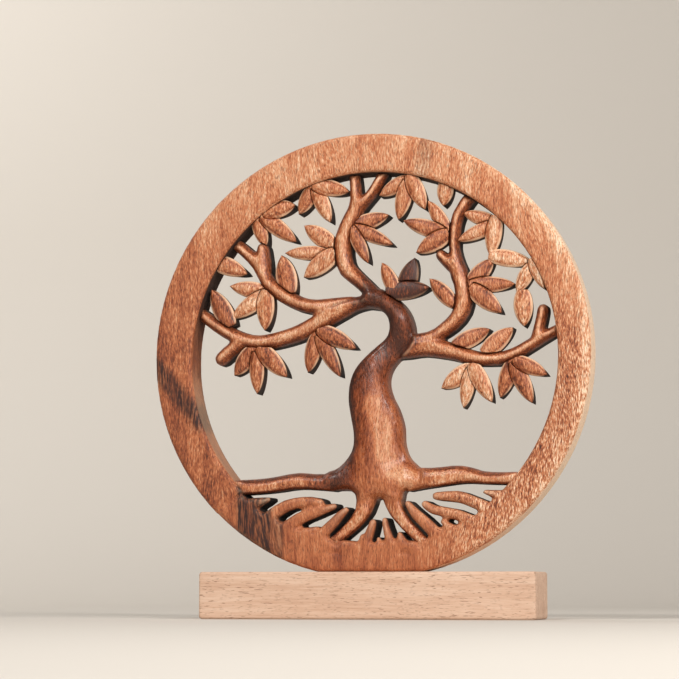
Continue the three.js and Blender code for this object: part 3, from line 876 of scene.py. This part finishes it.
def leaf_shares(leaf, x, z):
    """How far across a leaf the points are: 0 on its middle line, 1 at its edge, more outside it."""
    base_x, base_z, tip_x, tip_z, width = leaf
    dx, dz = tip_x - base_x, tip_z - base_z
    reach, spread = leaf_outline(leaf)
    length = math.hypot(dx, dz)
    along = ((x - base_x) * dx + (z - base_z) * dz) / length
    side = np.abs((z - base_z) * dx - (x - base_x) * dz) / length
    steps = np.linspace(0, 1, 40)
    half = np.interp(along, bezier(reach, steps), bezier(spread, steps))
    past_ends = np.clip(reach[0] - along, 0, None) + np.clip(along - reach[3], 0, None)
    return side / np.maximum(half, 0.8) + past_ends


def leaf_spray(node, material):
    """The leaves that leave a bough together, crowned, with dark sawn walls that are stained and painted
    with shade, and pale edges of wear and painted highlight.
    """
    leaves = LEAVES[node]
    piece = leaves_in_one(node)
    points, normals = points_and_normals(piece.data)
    x, z = in_disc(points)
    shares = np.array([leaf_shares(leaf, x, z) for leaf in leaves])
    spray_tone = LEAF_TONES.get(node, LEAF_TONE)
    tones = [spray_tone + LEAF_TONE_SPREAD * math.sin(17 * leaf[0] + 5 * leaf[3]) for leaf in leaves]
    own_tone = np.array(tones)[shares.argmin(axis=0)]
    wall = wall_share(normals)
    facing = smoothstep(0.15, 0.4, -normals[:, 1])
    first = shares.min(axis=0)
    between = 0.0
    if len(leaves) > 1:
        between = smoothstep(1.5, 1.25, np.sort(shares, axis=0)[1])
    # pale leaf edges: wear, with painted highlight
    edge = facing * smoothstep(0.76, 0.9, first) * (1 - 0.6 * between)
    # painted shade in a band just inside the edge
    painted_groove_shade = facing * smoothstep(0.3, 0.64, first) * smoothstep(0.84, 0.72, first)
    is_dark = node == DARK_SPRAY
    deep = smoothstep(FRONT + 4 * MM, FRONT + 7 * MM, points[:, 1])
    # walls: staining with painted shade, darker deeper in and where two leaves meet
    stain_and_shade = np.maximum(wall * (0.65 + 0.32 * deep), 0.95 * wall * between)
    set_attribute(piece.data, "stain_and_shade", stain_and_shade)
    set_attribute(piece.data, "tone", own_tone + 0.05 - 0.17 * painted_groove_shade)
    set_attribute(piece.data, "heart", np.full(len(points), 0.4 if is_dark else 0.0))
    set_attribute(piece.data, "wear_and_highlight", (0.25 if is_dark else 0.8) * edge)
    set_attribute(piece.data, "polish", np.full(len(points), 0.4))
    set_attribute(piece.data, "fleck", np.full(len(points), 1.5))
    place_piece(piece, "panel", [node], material)
    piece.data.set_sharp_from_angle(angle=LEAF_SHARP_ANGLE)


# ---------------------------------------------------------------- plinth and dowels

def plinth(material):
    """The planed bar, with its edges eased and its dowel holes open."""
    piece = joined_copy("plinth_bar", ["plinth"])
    resurface(piece, PLINTH_VOXEL, 2)
    points, normals = points_and_normals(piece.data)
    proud = convexity(piece.data, points, normals)
    # on the plinth this only marks where its edges are chipped
    set_attribute(piece.data, "wear_and_highlight", 0.85 * smoothstep(0.05, 0.2, proud))
    place_piece(piece, "stand", ["plinth"], material)


DOWEL_SIDES, DOWEL_FLUTES = 72, 18
DOWEL_FLUTE_DEPTH, DOWEL_TAPER = 0.35 * MM, 1.2 * MM
DOWEL_END = 0.8  # the share of its radius that is left at its ends


def dowel(node, material):
    """A fluted peg with tapered ends."""
    low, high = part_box(node)
    radius = (high.x - low.x) / 2
    centre = (low + high) / 2
    levels = [
        (low.z, 0),
        (low.z, DOWEL_END),
        (low.z + DOWEL_TAPER, 1),
        (high.z - DOWEL_TAPER, 1),
        (high.z, DOWEL_END),
        (high.z, 0),
    ]
    shape = bmesh.new()
    rings = []
    for z, share in levels:
        if share == 0:
            rings.append([shape.verts.new((centre.x, centre.y, z))])
            continue
        ring = []
        for i in range(DOWEL_SIDES):
            angle = 2 * math.pi * i / DOWEL_SIDES
            flute = DOWEL_FLUTE_DEPTH * (0.5 - 0.5 * math.cos(DOWEL_FLUTES * angle)) ** 3
            reach = radius * share - flute
            x = centre.x + reach * math.cos(angle)
            y = centre.y + reach * math.sin(angle)
            ring.append(shape.verts.new((x, y, z)))
        rings.append(ring)
    for below, above in zip(rings, rings[1:]):
        for i in range(DOWEL_SIDES):
            j = (i + 1) % DOWEL_SIDES
            corners = [below[i % len(below)], below[j % len(below)]]
            corners += [above[j % len(above)], above[i % len(above)]]
            shape.faces.new(list(dict.fromkeys(corners)))
    place_piece(new_object(node + "_peg", shape), "stand", [node], material)


# ---------------------------------------------------------------- stage, light and camera

# The backdrop, in metres.
SWEEP_WIDTH, SWEEP_FRONT, SWEEP_BACK, SWEEP_HEIGHT = 6.0, -3.0, 1.4, 3.0
SWEEP_BEND, SWEEP_BEND_STEPS = 0.5, 12
PAPER_COLOUR, PAPER_ROUGHNESS = srgb(206, 199, 190), 0.9


def backdrop():
    """A pale floor that curves up into a wall behind."""
    bend_start = SWEEP_BACK - SWEEP_BEND
    profile = [(SWEEP_FRONT, 0.0), (bend_start, 0.0)]
    for i in range(1, SWEEP_BEND_STEPS + 1):
        angle = math.radians(90 * i / SWEEP_BEND_STEPS)
        y = bend_start + SWEEP_BEND * math.sin(angle)
        profile.append((y, SWEEP_BEND - SWEEP_BEND * math.cos(angle)))
    profile.append((SWEEP_BACK, SWEEP_HEIGHT))
    vertices = [(side * SWEEP_WIDTH / 2, y, z) for y, z in profile for side in (-1, 1)]
    faces = [(2 * i, 2 * i + 1, 2 * i + 3, 2 * i + 2) for i in range(len(profile) - 1)]
    mesh = bpy.data.meshes.new("backdrop")
    mesh.from_pydata(vertices, [], faces)
    for polygon in mesh.polygons:
        polygon.use_smooth = True
    sweep = bpy.data.objects.new("backdrop", mesh)
    paper = Shader("backdrop_paper")
    paper.surface.inputs["Base Color"].default_value = PAPER_COLOUR
    paper.surface.inputs["Roughness"].default_value = PAPER_ROUGHNESS
    mesh.materials.append(paper.material)
    bpy.context.scene.collection.objects.link(sweep)


def area_light(name, place, aim, size, power, colour):
    """A round soft light: places and size in metres, power in watts."""
    data = bpy.data.lights.new(name, "AREA")
    data.shape = "DISK"
    data.size = size
    data.energy = power
    data.color = colour
    light = bpy.data.objects.new(name, data)
    light.location = place
    light.rotation_euler = (Vector(aim) - Vector(place)).to_track_quat("-Z", "Y").to_euler()
    bpy.context.scene.collection.objects.link(light)


WARM, COOL, NEARLY_WHITE = (1.0, 0.98, 0.95), (0.96, 0.98, 1.0), (1.0, 0.99, 0.97)
WORLD_COLOUR, WORLD_STRENGTH = srgb(235, 233, 230), 0.22


def lights():
    """A key from the upper left, two smaller ones from the right, a fill, and one for the wall."""
    aim = DISC_CENTRE
    area_light("key", (-0.45, -1.0, 1.4), aim, 0.4, 13, WARM)
    area_light("right_key", (1.2, -0.7, 0.9), aim, 0.35, 11.5, WARM)
    area_light("crest", (0.75, -1.3, 0.7), aim, 0.35, 8, WARM)
    area_light("fill", (0.1, -1.8, 0.3), aim, 1.2, 2, COOL)
    area_light("wall_wash", (-1.3, 0.4, 1.2), (-0.7, 1.4, 0.7), 0.8, 13.5, NEARLY_WHITE)
    world = bpy.data.worlds.new("studio")
    world.use_nodes = True
    background = world.node_tree.nodes["Background"]
    background.inputs["Color"].default_value = WORLD_COLOUR
    background.inputs["Strength"].default_value = WORLD_STRENGTH
    bpy.context.scene.world = world
    bpy.context.scene.view_settings.view_transform = "Standard"


# The camera, at the photograph's viewing angle.
CAMERA_AZIMUTH = 12.95  # degrees to the right of straight ahead
CAMERA_DISTANCE, CAMERA_HEIGHT = 1.6, 0.022  # metres
LENS, SENSOR = 123.3, 36  # mm
AIM_LEFT, AIM_UP = 22.7 * MM, 10.9 * MM  # from the disc's centre


def camera():
    """The view of the photograph, with the disc a little right of the middle."""
    data = bpy.data.cameras.new("camera")
    data.lens = LENS
    data.sensor_width = SENSOR
    viewer = bpy.data.objects.new("camera", data)
    azimuth = math.radians(CAMERA_AZIMUTH)
    rise = CAMERA_HEIGHT - DISC_CENTRE.z
    level = math.sqrt(CAMERA_DISTANCE**2 - rise**2)
    offset = Vector((level * math.sin(azimuth), -level * math.cos(azimuth), rise))
    viewer.location = DISC_CENTRE + offset
    right = Vector((math.cos(azimuth), math.sin(azimuth), 0))
    aim = DISC_CENTRE - right * AIM_LEFT + Vector((0, 0, AIM_UP))
    viewer.rotation_euler = (aim - viewer.location).to_track_quat("-Z", "Y").to_euler()
    bpy.context.scene.collection.objects.link(viewer)
    bpy.context.scene.camera = viewer


# ---------------------------------------------------------------- making it all

carving = carved_wood()
carved_rim(carving)
carved_tree(carving)
for node_name in PANEL_NODES:
    if node_name.startswith(("spray", "leaf")):
        leaf_spray(node_name, carving)
plinth(plinth_wood())
peg_wood = dowel_wood()
for node_name in ("dowel_left", "dowel_right"):
    dowel(node_name, peg_wood)
backdrop()
lights()
camera()
